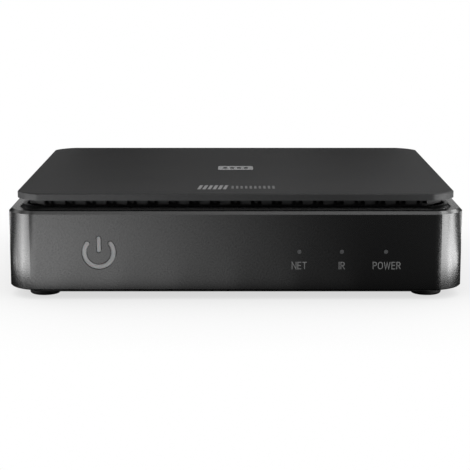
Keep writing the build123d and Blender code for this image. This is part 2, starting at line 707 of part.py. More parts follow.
def make_optical_jack_body():
    """The optical socket: a block with a square well, a mouth frame and hinge holes."""
    body = block(OPTICAL_X - 4.85, OPTICAL_X + 4.85, 48.3, PORT_Y, BOARD_TOP, OPTICAL_TOP)
    body -= block(OPTICAL_X - 3.15, OPTICAL_X + 3.15, 51.6, 61.0, 11.7, SHUTTER_Z + 0.95)
    body -= block(OPTICAL_X - 2.75, OPTICAL_X + 2.75, 60.5, PORT_Y + EPS, 12.1, 17.1)
    body -= rod_x(SHUTTER_Y, SHUTTER_Z, OPTICAL_X - 4.0, OPTICAL_X + 4.0, 0.42)
    return body


def make_optical_shutter_pin():
    """The shutter's hinge pin."""
    return rod_x(SHUTTER_Y, SHUTTER_Z, OPTICAL_X - 3.95, OPTICAL_X + 3.95, 0.4)


def make_optical_shutter():
    """The dust shutter behind the mouth: a flap below a round knuckle."""
    flap = block(OPTICAL_X - 3.0, OPTICAL_X + 3.0, SHUTTER_Y, SHUTTER_Y + 0.8, 11.9, SHUTTER_Z)
    flap += rod_x(SHUTTER_Y, SHUTTER_Z, OPTICAL_X - 3.0, OPTICAL_X + 3.0, 0.85)
    return flap - rod_x(SHUTTER_Y, SHUTTER_Z, OPTICAL_X - 4.0, OPTICAL_X + 4.0, 0.45)


def make_reset_switch_body():
    """The push switch behind the pinhole."""
    body = block(RESET_X - 3, RESET_X + 3, 54.4, 58.2, BOARD_TOP, BOARD_TOP + 4.0)
    return body - rod_y(RESET_X, RESET_Z, 56.4, 59.0, 1.25)


def make_reset_plunger():
    """The plunger that a pin pushed through the pinhole presses."""
    return rod_y(RESET_X, RESET_Z, 56.8, 59.1, 1.2)


# ---- write every piece --------------------------------------------------------------------
def all_nodes():
    """Every piece by name."""
    nodes = {
        "shell": make_shell(),
        "bottom_plate": make_bottom_plate(),
        "top_cover": make_top_cover(),
        "top_badge": make_top_badge(),
        "rear_panel": make_rear_panel(),
        "case_screws": make_case_screws(),
        "rating_label": make_rating_label(),
        "power_key": make_power_key(),
        "key_retainer": make_key_retainer(),
        "front_board": make_front_board(),
        "front_board_screws": make_front_board_screws(),
        "tact_switch_body": make_tact_switch_body(),
        "tact_switch_plunger": make_tact_switch_plunger(),
        "light_guide": make_light_guide(),
        "status_leds": make_status_leds(),
        "ir_receiver": make_ir_receiver(),
        "ribbon_cable": make_ribbon_cable(),
        "front_ribbon_socket": make_front_ribbon_socket(),
        "main_ribbon_socket": make_main_ribbon_socket(),
        "main_board": make_main_board(),
        "main_board_screws": make_main_board_screws(),
        "soc_chip": make_soc_chip(),
        "thermal_pad": make_thermal_pad(),
        "heat_sink": make_heat_sink(),
        "heat_sink_pins": make_heat_sink_pins(),
        "memory_chips": make_memory_chips(),
        "flash_chip": make_flash_chip(),
        "power_inductors": make_power_inductors(),
        "capacitors": make_capacitors(),
        "crystal_cans": make_crystal_cans(),
        "ethernet_transformer": make_ethernet_transformer(),
        "wifi_board": make_wifi_board(),
        "wifi_shield": make_wifi_shield(),
        "wifi_antenna": make_wifi_antenna(),
        "dc_jack_body": make_dc_jack_body(),
        "dc_jack_pin": make_dc_jack_pin(),
        "network_jack_shell": make_network_jack_shell(),
        "network_jack_insert": make_network_jack_insert(),
        "network_jack_contacts": make_network_jack_contacts(),
        "video_jack_shell": make_video_jack_shell(),
        "video_jack_tongue": make_video_jack_tongue(),
        "av_jack": make_av_jack(),
        "optical_jack_body": make_optical_jack_body(),
        "optical_shutter": make_optical_shutter(),
        "optical_shutter_pin": make_optical_shutter_pin(),
        "reset_switch_body": make_reset_switch_body(),
        "reset_plunger": make_reset_plunger(),
    }
    for index, x in enumerate(USB_XS):
        nodes[f"usb_socket_{index + 1}_shell"] = make_usb_shell(x)
        nodes[f"usb_socket_{index + 1}_tongue"] = make_usb_tongue(x)
    for y_name, y in (("front", -FOOT_Y), ("rear", FOOT_Y)):
        for x_name, x in (("left", -FOOT_X), ("right", FOOT_X)):
            nodes[f"foot_{y_name}_{x_name}"] = make_foot(x, y)
    return nodes


os.makedirs("parts", exist_ok=True)
for name, shape in all_nodes().items():
    solids = shape if isinstance(shape, list) else shape.solids()
    parts = [solid for item in solids for solid in item.solids()]
    export_step(Compound(children=parts), f"parts/{name}.step")
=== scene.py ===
"""Looks of the streaming media player: materials, printing, fine details, light and camera.

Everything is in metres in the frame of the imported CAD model: +X to the right seen from the
front, +Y towards the back, +Z up, origin on the floor under the middle of the box.
"""

import json
from math import atan2, cos, pi, radians, sin

import bmesh
import bpy
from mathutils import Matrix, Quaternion, Vector

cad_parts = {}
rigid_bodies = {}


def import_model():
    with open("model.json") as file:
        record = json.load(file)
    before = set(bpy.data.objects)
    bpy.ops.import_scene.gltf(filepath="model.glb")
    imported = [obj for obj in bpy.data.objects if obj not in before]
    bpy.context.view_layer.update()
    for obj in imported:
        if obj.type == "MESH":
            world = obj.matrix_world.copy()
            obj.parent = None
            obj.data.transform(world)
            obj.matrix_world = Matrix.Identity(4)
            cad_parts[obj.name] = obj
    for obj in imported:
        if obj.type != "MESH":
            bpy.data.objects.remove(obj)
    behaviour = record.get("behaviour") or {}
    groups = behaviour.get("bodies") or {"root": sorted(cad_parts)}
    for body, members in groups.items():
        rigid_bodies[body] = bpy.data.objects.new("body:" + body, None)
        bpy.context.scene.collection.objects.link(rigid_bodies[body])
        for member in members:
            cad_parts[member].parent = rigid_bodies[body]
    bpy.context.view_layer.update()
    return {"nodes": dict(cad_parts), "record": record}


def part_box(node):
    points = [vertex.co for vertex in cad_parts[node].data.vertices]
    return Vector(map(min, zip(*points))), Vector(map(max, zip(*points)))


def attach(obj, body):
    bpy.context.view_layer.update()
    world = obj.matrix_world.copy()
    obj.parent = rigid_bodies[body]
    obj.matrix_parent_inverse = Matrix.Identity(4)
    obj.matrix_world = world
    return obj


for leftover in list(bpy.data.objects):
    bpy.data.objects.remove(leftover)
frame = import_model()
NODES = frame["nodes"]
MM = 0.001


# ---- node helpers ---------------------------------------------------------------------------
class Shader:
    """One node material, with short calls for the nodes that it needs."""

    def __init__(self, name):
        self.material = bpy.data.materials.new(name)
        self.material.use_nodes = True
        self.tree = self.material.node_tree
        self.surface = self.tree.nodes["Principled BSDF"]
        self.place = self.tree.nodes.new("ShaderNodeTexCoord").outputs["Object"]

    def set(self, **values):
        """Sets sockets of the surface: underscores stand for spaces."""
        for key, value in values.items():
            self.surface.inputs[key.replace("_", " ")].default_value = value
        return self

    def link(self, source, socket):
        """Feeds a socket of the surface."""
        self.tree.links.new(source, self.surface.inputs[socket])
        return self

    def scaled_place(self, scale):
        """The position, scaled by a number for each axis."""
        node = self.tree.nodes.new("ShaderNodeMapping")
        node.inputs["Scale"].default_value = scale
        self.tree.links.new(self.place, node.inputs["Vector"])
        return node.outputs["Vector"]

    def noise(self, scale, detail=3.0, place=None):
        """Soft noise, from about 0 to 1; scale is in features per metre."""
        node = self.tree.nodes.new("ShaderNodeTexNoise")
        node.inputs["Scale"].default_value = scale
        node.inputs["Detail"].default_value = detail
        self.tree.links.new(place or self.place, node.inputs["Vector"])
        return node.outputs["Fac"]

    def cells(self, scale):
        """Distance to the nearest of many scattered points."""
        node = self.tree.nodes.new("ShaderNodeTexVoronoi")
        node.inputs["Scale"].default_value = scale
        self.tree.links.new(self.place, node.inputs["Vector"])
        return node.outputs["Distance"]

    def colours(self, source, *stops):
        """A colour ramp: each stop is (position, (r, g, b))."""
        node = self.tree.nodes.new("ShaderNodeValToRGB")
        ramp = node.color_ramp
        for index, (position, colour) in enumerate(stops):
            stop = ramp.elements[index] if index < 2 else ramp.elements.new(position)
            stop.position = position
            stop.color = (*colour, 1.0)
        self.tree.links.new(source, node.inputs["Fac"])
        return node.outputs["Color"]

    def span(self, source, low, high, start=0.3, stop=0.7):
        """Maps a value from start..stop to low..high."""
        node = self.tree.nodes.new("ShaderNodeMapRange")
        for socket, value in (("From Min", start), ("From Max", stop),
                              ("To Min", low), ("To Max", high)):
            node.inputs[socket].default_value = value
        self.tree.links.new(source, node.inputs["Value"])
        return node.outputs["Result"]

    def bump(self, source, depth, strength=1.0, under=None):
        """Relief of a depth in metres, on top of another relief."""
        node = self.tree.nodes.new("ShaderNodeBump")
        node.inputs["Distance"].default_value = depth
        node.inputs["Strength"].default_value = strength
        self.tree.links.new(source, node.inputs["Height"])
        if under:
            self.tree.links.new(under, node.inputs["Normal"])
        return node.outputs["Normal"]


def shade(colour, factor):
    """A colour made lighter or darker."""
    return tuple(min(1.0, c * factor) for c in colour)


def plastic(name, colour, rough, grain, depth, vary=0.12, level=0.5, ior=1.46):
    """A moulded plastic: slow colour drift, fine surface grain and uneven gloss."""
    s = Shader(name)
    slow, fine = s.noise(60.0, 2.0), s.noise(grain, 3.0)
    s.link(s.colours(slow, (0.3, shade(colour, 1 - vary)), (0.7, shade(colour, 1 + vary))),
           "Base Color")
    s.link(s.span(fine, rough * 0.92, rough * 1.08), "Roughness")
    s.link(s.bump(fine, depth), "Normal")
    s.set(Specular_IOR_Level=level, IOR=ior)
    return s.material


def metal(name, colour, rough, brush=(900.0, 900.0, 900.0), depth=2e-6):
    """A plated or bare metal with fine directional brushing and slight staining."""
    s = Shader(name)
    lines = s.noise(1.0, 2.0, s.scaled_place(brush))
    stain = s.noise(140.0, 4.0)
    s.link(s.colours(stain, (0.3, shade(colour, 0.86)), (0.7, shade(colour, 1.05))),
           "Base Color")
    s.link(s.span(lines, rough * 0.7, rough * 1.35), "Roughness")
    s.link(s.bump(lines, depth), "Normal")
    s.set(Metallic=1.0)
    return s.material


# ---- materials by slot ----------------------------------------------------------------------
def shell_gloss():
    """Polished dark moulding: smooth, with the faintest mould waviness."""
    s = Shader("shell_gloss")
    drift, wave, dust = s.noise(40.0, 2.0), s.noise(220.0, 2.0), s.noise(5200.0, 2.0)
    s.link(s.colours(drift, (0.3, (0.0038, 0.0039, 0.0040)), (0.7, (0.0045, 0.0046, 0.0047))),
           "Base Color")
    s.link(s.span(dust, 0.25, 0.29), "Roughness")
    s.link(s.bump(dust, 1.5e-6, under=s.bump(wave, 4e-6)), "Normal")
    s.set(Specular_IOR_Level=0.5, IOR=1.5)
    return s.material


def cover_matte():
    """Fine spark-eroded texture on the lid."""
    s = Shader("cover_matte")
    drift, grain, pits = s.noise(35.0, 2.0), s.noise(4200.0, 3.0), s.cells(3000.0)
    s.link(s.colours(drift, (0.3, (0.0200, 0.0202, 0.0206)), (0.7, (0.0232, 0.0234, 0.0238))),
           "Base Color")
    s.link(s.span(grain, 0.52, 0.62), "Roughness")
    s.link(s.bump(grain, 1.2e-5, under=s.bump(pits, 1.0e-5)), "Normal")
    s.set(Specular_IOR_Level=0.22)
    return s.material


def board_resin():
    """Green solder mask with faint tracks under it."""
    s = Shader("board_resin")
    tracks = s.tree.nodes.new("ShaderNodeTexBrick")
    tracks.inputs["Scale"].default_value = 180.0
    tracks.inputs["Mortar Size"].default_value = 0.06
    tracks.inputs["Color1"].default_value = (0.010, 0.075, 0.034, 1)
    tracks.inputs["Color2"].default_value = (0.013, 0.088, 0.040, 1)
    tracks.inputs["Mortar"].default_value = (0.022, 0.125, 0.060, 1)
    s.tree.links.new(s.place, tracks.inputs["Vector"])
    s.link(tracks.outputs["Color"], "Base Color")
    s.link(s.bump(tracks.outputs["Fac"], 2e-5, under=s.bump(s.noise(900.0), 4e-6)), "Normal")
    s.link(s.span(s.noise(300.0), 0.28, 0.42), "Roughness")
    return s.material


def key_lens():
    """Grey translucent moulding of the power symbol, softly mottled."""
    s = Shader("key_lens")
    haze = s.noise(700.0, 3.0)
    s.link(s.colours(haze, (0.3, (0.212, 0.213, 0.215)), (0.7, (0.246, 0.247, 0.249))),
           "Base Color")
    s.link(s.span(haze, 0.32, 0.44), "Roughness")
    s.link(s.bump(s.noise(2500.0), 6e-6), "Normal")
    s.set(Subsurface_Weight=0.15, Subsurface_Scale=0.0006)
    return s.material


def clear_guide():
    """Clear moulding of the indicator pins, frosted at its ends."""
    s = Shader("clear_guide")
    frost = s.noise(3000.0, 2.0)
    s.link(s.colours(frost, (0.3, (0.105, 0.107, 0.11)), (0.7, (0.135, 0.137, 0.14))),
           "Base Color")
    s.link(s.span(frost, 0.25, 0.40), "Roughness")
    s.set(Transmission_Weight=0.25, IOR=1.49)
    return s.material


def rubber():
    """Matt black rubber with a dusty bloom."""
    s = Shader("foot_rubber")
    bloom, grain = s.noise(500.0, 4.0), s.noise(7000.0, 3.0)
    s.link(s.colours(bloom, (0.3, (0.010, 0.010, 0.010)), (0.75, (0.020, 0.020, 0.0205))),
           "Base Color")
    s.link(s.span(grain, 0.55, 0.72), "Roughness")
    s.link(s.bump(grain, 1.5e-5), "Normal")
    s.set(Specular_IOR_Level=0.4)
    return s.material


def ink(name, grey):
    """Screen-printed ink, also used for the dark painted shadow on the power symbol: thin,
    slightly uneven in density and gloss.
    """
    s = Shader(name)
    density, edge = s.noise(900.0, 3.0), s.noise(6000.0, 2.0)
    s.link(s.colours(density, (0.3, (grey * 0.88,) * 3), (0.7, (grey * 1.1,) * 3)), "Base Color")
    s.link(s.span(edge, 0.42, 0.56), "Roughness")
    s.link(s.bump(edge, 3e-6), "Normal")
    s.set(Specular_IOR_Level=0.3)
    return s.material


def make_materials():
    """Every material by the record's slot name."""
    return {
        "shell_gloss": shell_gloss(),
        "cover_matte": cover_matte(),
        "base_matte": plastic("base_matte", (0.016, 0.016, 0.0165), 0.58, 2600.0, 2e-5),
        "panel_matte": plastic("panel_matte", (0.017, 0.017, 0.0175), 0.50, 3600.0, 1.5e-5),
        "badge_metal": metal("badge_metal", (0.62, 0.62, 0.63), 0.28, (60.0, 5000.0, 5000.0)),
        "label_film": plastic("label_film", (0.40, 0.40, 0.41), 0.42, 1500.0, 3e-6, 0.04),
        "key_lens": key_lens(),
        "clear_guide": clear_guide(),
        "foot_rubber": rubber(),
        "screw_steel": metal("screw_steel", (0.23, 0.23, 0.24), 0.34),
        "plated_steel": metal("plated_steel", (0.42, 0.42, 0.41), 0.36, (300, 40, 300), 1e-7),
        "sink_aluminium": plastic("sink_aluminium", (0.03, 0.03, 0.032), 0.45, 1800.0, 6e-6),
        "can_aluminium": metal("can_aluminium", (0.68, 0.68, 0.70), 0.3),
        "board_resin": board_resin(),
        "chip_resin": plastic("chip_resin", (0.020, 0.020, 0.021), 0.5, 3000.0, 1e-5),
        "coil_ferrite": plastic("coil_ferrite", (0.045, 0.045, 0.048), 0.6, 2500.0, 2e-5),
        "pad_silicone": plastic("pad_silicone", (0.28, 0.31, 0.36), 0.7, 900.0, 2e-5),
        "socket_black": plastic("socket_black", (0.018, 0.018, 0.019), 0.38, 3200.0, 6e-6),
        "socket_white": plastic("socket_white", (0.36, 0.355, 0.33), 0.42, 2600.0, 6e-6, 0.05),
        "contact_gold": metal("contact_gold", (0.83, 0.60, 0.24), 0.2, (2000.0, 90.0, 2000.0)),
        "ribbon_film": plastic("ribbon_film", (0.62, 0.64, 0.66), 0.4, 800.0, 4e-6, 0.05),
        "led_body": plastic("led_body", (0.72, 0.70, 0.55), 0.35, 2500.0, 4e-6, 0.05),
        "switch_cap": plastic("switch_cap", (0.05, 0.05, 0.055), 0.45, 3000.0, 8e-6),
    }


def dress_nodes(materials):
    """Gives every CAD node the material of its slot."""
    for part in frame["record"]["subparts"]:
        slots = NODES[part["node"]].data.materials
        for index in range(len(slots)):
            slots[index] = materials[part["material_slot"]]


# ---- flat prints and thin plates: outlines in millimetres --------------------------------------
MITRE_LEAST = 0.35  # keeps the mitre of a sharp corner short
TOP_STEP = 0.0008  # crossing strokes end at unlike heights, so that no two tops share a plane
TOP_LEVELS = 5
INK_THICK = 0.02


def arc(x, y, radius_x, radius_y, start, stop, steps=8):
    """Points on an ellipse's arc, from one angle to another, in degrees."""
    angles = [radians(start + (stop - start) * i / steps) for i in range(steps + 1)]
    return [(x + radius_x * cos(a), y + radius_y * sin(a)) for a in angles]


def stroke(points, width):
    """Outline of a pen stroke along a line, with mitred corners and round ends."""
    line = [Vector(p) for p in points]
    half = width / 2
    left, right = [], []
    for index, point in enumerate(line):
        before = (point - line[index - 1]).normalized() if index else None
        after = (line[index + 1] - point).normalized() if index < len(line) - 1 else None
        along = ((before or after) + (after or before)).normalized()
        side = Vector((-along.y, along.x))
        run = after or before
        grow = half / max(MITRE_LEAST, side.dot(Vector((-run.y, run.x))))
        left.append(point + side * grow)
        right.append(point - side * grow)
    return (round_end(line[-1], line[-1] - line[-2], half, left)
            + round_end(line[0], line[0] - line[1], half, right[::-1]))


def round_end(centre, along, half, side):
    """One side of a stroke followed by the half circle round its end."""
    turn = atan2(along.y, along.x)
    cap = [centre + Vector((cos(turn + a), sin(turn + a))) * half
           for a in (pi / 3, pi / 6, 0.0, -pi / 6, -pi / 3)]
    return [tuple(p) for p in side + cap]


def ring_strokes(points, width):
    """A closed line as two strokes that meet."""
    middle = len(points) // 2
    return [stroke(points[:middle + 1], width), stroke(points[middle:] + points[:1], width)]


def rounded(x0, x1, y0, y1, radius):
    """Outline of a rectangle with round corners."""
    corners = ((x1 - radius, y1 - radius, 0), (x0 + radius, y1 - radius, 90),
               (x0 + radius, y0 + radius, 180), (x1 - radius, y0 + radius, 270))
    return [p for x, y, turn in corners for p in arc(x, y, radius, radius, turn, turn + 90, 4)]


class Face:
    """A flat face of the box that takes prints: u and v lie in it and w stands out of it."""

    def __init__(self, origin, u, v, w):
        self.origin, self.axes = Vector(origin), [Vector(a) for a in (u, v, w)]

    def at(self, u, v, w):
        """A point given in millimetres along the face's own axes."""
        shift = sum((axis * value * MM for axis, value in zip(self.axes, (u, v, w))), Vector())
        return self.origin + shift


def plate_piece(name, face, outlines, low, high, material):
    """Thin plates on a face, from low to high above it, as one piece that rides on the housing."""
    shape = bmesh.new()
    for index, outline in enumerate(outlines):
        top = high - TOP_STEP * (index % TOP_LEVELS)
        rims = [[shape.verts.new(face.at(u, v, w)) for u, v in outline] for w in (low, top)]
        for rim in rims:
            shape.faces.new(rim)
        count = len(outline)
        for i in range(count):
            j = (i + 1) % count
            shape.faces.new((rims[0][i], rims[0][j], rims[1][j], rims[1][i]))
    bmesh.ops.recalc_face_normals(shape, faces=shape.faces)
    mesh = bpy.data.meshes.new(name)
    shape.to_mesh(mesh)
    shape.free()
    mesh.materials.append(material)
    piece = bpy.data.objects.new(name, mesh)
    bpy.context.scene.collection.objects.link(piece)
    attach(piece, "housing")


def print_piece(name, face, outlines, ink_used):
    """Outlines printed on a face."""
    plate_piece(name, face, outlines, 0.0, INK_THICK, ink_used)


# ---- lettering: plain strokes on a grid whose capital height is 1 ------------------------------
WORD_MIDDLE = 11.43  # height of the words' middle above the floor
WORD_HEIGHT = 2.2
LETTER_GAP = 0.27  # in parts of the capital height
WORD_PEN = 0.29
END_DOT_INSET = 2.8  # from each end of the light guide to its end dot
WORD_SHIFTS = {"IR": -0.25, "POWER": 0.3}  # from the dot above
BOWL = [(0, 0), (0, 1)] + arc(0.24, 0.74, 0.26, 0.26, 90, -90) + [(0, 0.48)]
ROUND = arc(0.31, 0.66, 0.31, 0.34, 0, 180) + arc(0.31, 0.34, 0.31, 0.34, 180, 360)
GLYPHS = {  # width and strokes of each letter
    "E": (0.46, [[(0.46, 1), (0, 1), (0, 0), (0.46, 0)], [(0, 0.52), (0.40, 0.52)]]),
    "I": (0.0, [[(0, 0), (0, 1)]]),
    "N": (0.58, [[(0, 0), (0, 1), (0.58, 0), (0.58, 1)]]),
    "O": (0.62, [ROUND]),
    "P": (0.50, [BOWL]),
    "R": (0.52, [BOWL, [(0.24, 0.48), (0.52, 0)]]),
    "T": (0.54, [[(0, 1), (0.54, 1)], [(0.27, 1), (0.27, 0)]]),
    "W": (0.86, [[(0, 1), (0.21, 0), (0.43, 0.94), (0.65, 0), (0.86, 1)]]),
}


def word_outlines(word, centre):
    """A word in plain strokes, centred across a point of the front."""
    total = sum(GLYPHS[letter][0] for letter in word) + LETTER_GAP * (len(word) - 1)
    left = centre - total * WORD_HEIGHT / 2
    outlines = []
    for letter in word:
        wide, lines = GLYPHS[letter]
        for line in lines:
            spots = [(left + x * WORD_HEIGHT, WORD_MIDDLE + (y - 0.5) * WORD_HEIGHT)
                     for x, y in line]
            closed = line is ROUND
            outlines += ring_strokes(spots, WORD_PEN) if closed else [stroke(spots, WORD_PEN)]
        left += (wide + LETTER_GAP) * WORD_HEIGHT
    return outlines


def add_front_words(face, ink_used):
    """The three function words under the indicator dots."""
    guide_low, guide_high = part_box("light_guide")
    spread = (guide_high[0] - guide_low[0]) / MM / 2 - END_DOT_INSET
    middle = (guide_low[0] + guide_high[0]) / MM / 2
    for word, dot in (("NET", middle - spread), ("IR", middle), ("POWER", middle + spread)):
        outlines = word_outlines(word, dot + WORD_SHIFTS.get(word, 0.0))
        print_piece(f"print_{word.lower()}", face, outlines, ink_used)


KEY_RING = 4.78  # radius of the middle of the symbol's ring slot
KEY_SLOT_HALF = 0.82  # half the width of the slots
KEY_OPENING = radians(53)  # from the top of the ring to each of its ends
KEY_BAR_LOW, KEY_BAR_HIGH = 0.9, 4.6  # ends of the bar's straight part, above the ring's middle
KEY_BAR_SLIMMER = 0.08  # the bar's slot is narrower by this on each side
SHADOW_LINE_PEN = 0.26
SHADOW_LINE_THICK = 0.012


def add_key_painted_shadows(face, ink_used):
    """Painted shadow: dark lines along the upper edges of the power symbol's slots, standing in
    for the shade that falls there.
    """
    low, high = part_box("power_key")
    x, z = (low[0] + high[0]) / MM / 2, (low[2] + high[2]) / MM / 2
    cap = KEY_SLOT_HALF + SHADOW_LINE_PEN / 2
    inner, outer = KEY_RING - cap, KEY_RING + cap
    end_x, end_z = KEY_RING * sin(KEY_OPENING), KEY_RING * cos(KEY_OPENING)
    bar = cap - KEY_BAR_SLIMMER
    bar_right = (x + bar, z + KEY_BAR_LOW)
    paths = [  # the ring's inner and outer edge, its left and right end, and the bar
        arc(x, z, inner, inner, 178, 335, 28),
        arc(x, z, outer, outer, -12, 34, 10),
        arc(x - end_x, z + end_z, cap, cap, 150, 20, 10),
        arc(x + end_x, z + end_z, cap, cap, 140, 40, 8),
        arc(x, z + KEY_BAR_HIGH, bar, bar, 170, 0, 10) + [bar_right],
    ]
    # the painted shadow, as a thin near-black plate on the front face
    plate_piece("key_painted_shadow_lines", face, [stroke(path, SHADOW_LINE_PEN) for path in paths],
                0.0, SHADOW_LINE_THICK, ink_used)


STRIPE_COUNT, STRIPE_FIRST, STRIPE_PITCH = 6, -12.8, 1.7
STRIPE_WIDTH, STRIPE_LEAN = 1.1, 0.8
STRIPE_LOW, STRIPE_HIGH = -51.0, -42.2  # front and back end of each stripe
BLOCK_COUNT, BLOCK_FIRST, BLOCK_PITCH = 10, -1.4, 1.52
BLOCK_WIDTH, BLOCK_CORNER = 0.8, 0.3
BLOCK_LOW, BLOCK_HIGH = -49.6, -43.4
GROOVE_COUNT, GROOVE_PITCH, GROOVE_HALF = 4, 2.55, 0.70
GROOVE_LOW, GROOVE_HIGH, GROOVE_CORNER = -1.55, 2.55, 0.25
FILL_BOTTOM, FILL_TOP = -0.11, -0.04  # the fill stays under the badge's face


def add_lid_print(face, bright, faint):
    """A plain pattern on the lid: slanted stripes, then a row of small blocks."""
    stripes = []
    for step in range(STRIPE_COUNT):
        x = STRIPE_FIRST + STRIPE_PITCH * step
        far = x + STRIPE_LEAN
        stripes.append([(x, STRIPE_LOW), (x + STRIPE_WIDTH, STRIPE_LOW),
                        (far + STRIPE_WIDTH, STRIPE_HIGH), (far, STRIPE_HIGH)])
    print_piece("print_lid_stripes", face, stripes, bright)
    lefts = [BLOCK_FIRST + BLOCK_PITCH * step for step in range(BLOCK_COUNT)]
    blocks = [rounded(x, x + BLOCK_WIDTH, BLOCK_LOW, BLOCK_HIGH, BLOCK_CORNER) for x in lefts]
    print_piece("print_lid_blocks", face, blocks, faint)


def add_badge_bars(face, ink_used):
    """Dark fill in the badge's engraved grooves."""
    middles = [GROOVE_PITCH * (step - (GROOVE_COUNT - 1) / 2) for step in range(GROOVE_COUNT)]
    bars = [rounded(x - GROOVE_HALF, x + GROOVE_HALF, GROOVE_LOW, GROOVE_HIGH, GROOVE_CORNER)
            for x in middles]
    plate_piece("badge_fill", face, bars, FILL_BOTTOM, FILL_TOP, ink_used)


def disc(x, y, radius):
    """Outline of a round spot."""
    return arc(x, y, radius, radius, 0, 345, 23)


PORTS = {  # each connector's middle, counted to the right of the box's as seen from behind
    "power": -46.0, "reset": -36.5, "network": -25.0, "video": -6.0,
    "plug_1": 11.5, "plug_2": 27.0, "sound": 39.0, "optical": 49.5,
}
SIGN_ROW = 7.7  # height of the signs' middle above the floor
SIGN_PEN = 0.28


def sign_lines(port, *paths):
    """Pen strokes of a connector's sign, from points about its middle."""
    x = PORTS[port]
    return [stroke([(x + u, SIGN_ROW + v) for u, v in path], SIGN_PEN) for path in paths]


def sign_ring(port, radius):
    """A pen circle about a sign's middle."""
    return ring_strokes(disc(PORTS[port], SIGN_ROW, radius), SIGN_PEN)


def add_port_signs(face, ink_used):
    """A small wordless sign under each rear connector."""
    signs = {
        "power": sign_ring("power", 1.05) + [disc(PORTS["power"], SIGN_ROW, 0.35)]
                 + sign_lines("power", [(-2.3, 0), (-1.05, 0)], [(1.05, 0), (2.3, 0)]),
        "reset": [stroke(arc(PORTS["reset"], SIGN_ROW, 0.9, 0.9, 60, 370, 16), SIGN_PEN)]
                 + sign_lines("reset", [(0.1, 1.3), (0.5, 0.75), (-0.1, 0.45)]),
        "network": sign_lines(
            "network", [(-0.5, 1.0), (0.5, 1.0), (0.5, 0.3), (-0.5, 0.3), (-0.5, 1.1)],
            [(0, 0.3), (0, -0.2)], [(-1.5, -0.2), (1.5, -0.2)], [(-1.5, -0.2), (-1.5, -0.9)],
            [(0, -0.2), (0, -0.9)], [(1.5, -0.2), (1.5, -0.9)]),
        "video": sign_lines(
            "video", [(-1.7, -0.6), (-1.7, 1.0), (1.7, 1.0), (1.7, -0.6), (-1.8, -0.6)],
            [(-0.9, -1.15), (0.9, -1.15)]),
        "sound": sign_ring("sound", 1.05) + sign_ring("sound", 0.45),
        "optical": [disc(PORTS["optical"], SIGN_ROW, 0.45)] + sign_lines(
            "optical", *([(r * cos(t), r * sin(t)) for r in (0.8, 1.25)]
                         for t in (pi / 4 * step for step in range(8)))),
    }
    for plug in ("plug_1", "plug_2"):
        signs[plug] = sign_lines(
            plug, [(-1.9, 0.6), (0.3, 0.6), (0.3, -0.6), (-1.9, -0.6), (-1.9, 0.7)],
            [(0.3, 0.4), (1.7, 0.4), (1.7, -0.4), (0.3, -0.4)])
    for port, outlines in signs.items():
        print_piece(f"sign_{port}", face, outlines, ink_used)


LAMP_OFFSET, LAMP_HALF = 5.5, 1.3  # each lamp's middle from the socket's, and half its width
LAMP_LOW, LAMP_HIGH, LAMP_CORNER = 21.0, 22.6, 0.3
LAMP_ROOT, LAMP_TOP = -0.3, 0.10  # from the socket's steel face
TONGUE_Z = 12.75  # underside of the plug sockets' tongues
PAD_SPOTS = (-3.5, -1.0, 1.0, 3.5)
PAD_LOW, PAD_HIGH, PAD_HALF, PAD_CORNER = 52.5, 60.2, 0.5, 0.2
PAD_ROOT, PAD_TOP = -0.05, 0.06  # from the tongue's underside


def add_port_details(steel_face, lamps, gold):
    """Lamps of the network socket and contact pads of the plug sockets."""
    for side, colour in ((-1, "green"), (1, "amber")):
        x = PORTS["network"] + side * LAMP_OFFSET
        window = rounded(x - LAMP_HALF, x + LAMP_HALF, LAMP_LOW, LAMP_HIGH, LAMP_CORNER)
        plate_piece(f"net_lamp_{colour}", steel_face, [window], LAMP_ROOT, LAMP_TOP,
                    lamps[colour])
    for number in (1, 2):
        origin = (-PORTS[f"plug_{number}"] * MM, 0, TONGUE_Z * MM)
        tongue = Face(origin, (1, 0, 0), (0, 1, 0), (0, 0, -1))
        pads = [rounded(u - PAD_HALF, u + PAD_HALF, PAD_LOW, PAD_HIGH, PAD_CORNER)
                for u in PAD_SPOTS]
        plate_piece(f"usb_pads_{number}", tongue, pads, PAD_ROOT, PAD_TOP, gold)


LABEL_X, LABEL_Y, LABEL_CORNER = 25.5, 13.5, 1.4  # half the size of the label's frame
FRAME_PEN, RULE_PEN = 0.25, 0.2
RULE_SPOTS = (9.0, 4.5, -7.0)
FIELD_X, FIELD_CORNER = 23.0, 0.4  # half the width of the rules and fields together


def add_label_lines(face, ink_used):
    """A frame and empty fields on the label underneath."""
    border = ring_strokes(rounded(-LABEL_X, LABEL_X, -LABEL_Y, LABEL_Y, LABEL_CORNER), FRAME_PEN)
    rules = [stroke([(-FIELD_X, v), (FIELD_X, v)], RULE_PEN) for v in RULE_SPOTS]
    corners = ((-FIELD_X, -4.0, -4.6, 2.2), (1.0, FIELD_X, -1.2, 2.2), (1.0, FIELD_X, -4.6, -2.6))
    fields = [rounded(*field, FIELD_CORNER) for field in corners]
    print_piece("label_frame", face, border + rules, ink_used)
    print_piece("label_fields", face, fields, ink_used)


